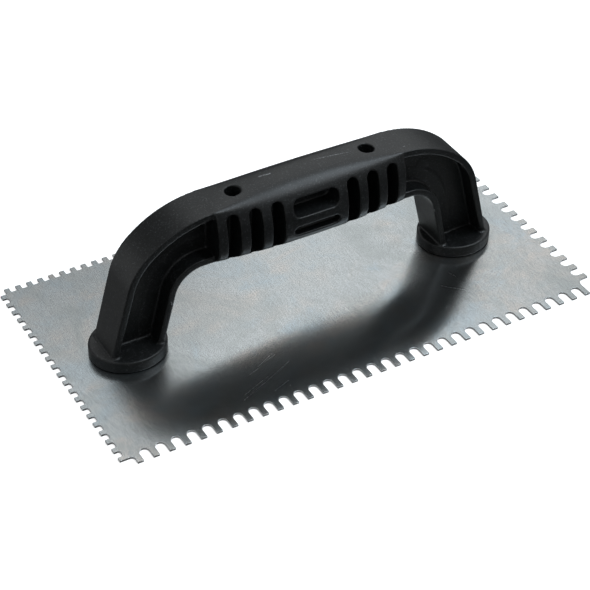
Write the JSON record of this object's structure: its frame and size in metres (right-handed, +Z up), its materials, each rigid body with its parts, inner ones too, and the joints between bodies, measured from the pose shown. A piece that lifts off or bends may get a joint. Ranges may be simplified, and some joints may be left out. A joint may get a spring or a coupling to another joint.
{
  "type": "notched trowel",
  "caption": "Flat steel blade with notches along all four edges, carried by a moulded arch handle with two round feet and a ribbed grip.",
  "frame": {"origin": "centre of the blade's underside", "axes": "+X along the blade's long edges, -Y towards the long edge with the large round notches, +Z up through the handle"},
  "size_m": [0.24, 0.1284, 0.0692],
  "materials": {
    "blade_steel": "cold rolled, lightly scratched",
    "handle_plastic": "black, fine moulded texture with a soft sheen",
    "screw_steel": "zinc plated",
    "insert_brass": "turned"
  },
  "bodies": {
    "root": {"blade": "blade_steel", "handle": "handle_plastic", "screw_left_front": "screw_steel", "screw_left_back": "screw_steel", "screw_right_front": "screw_steel", "screw_right_back": "screw_steel", "threaded_insert_left_front": "insert_brass", "threaded_insert_left_back": "insert_brass", "threaded_insert_right_front": "insert_brass", "threaded_insert_right_back": "insert_brass"}
  },
  "joints": []
}
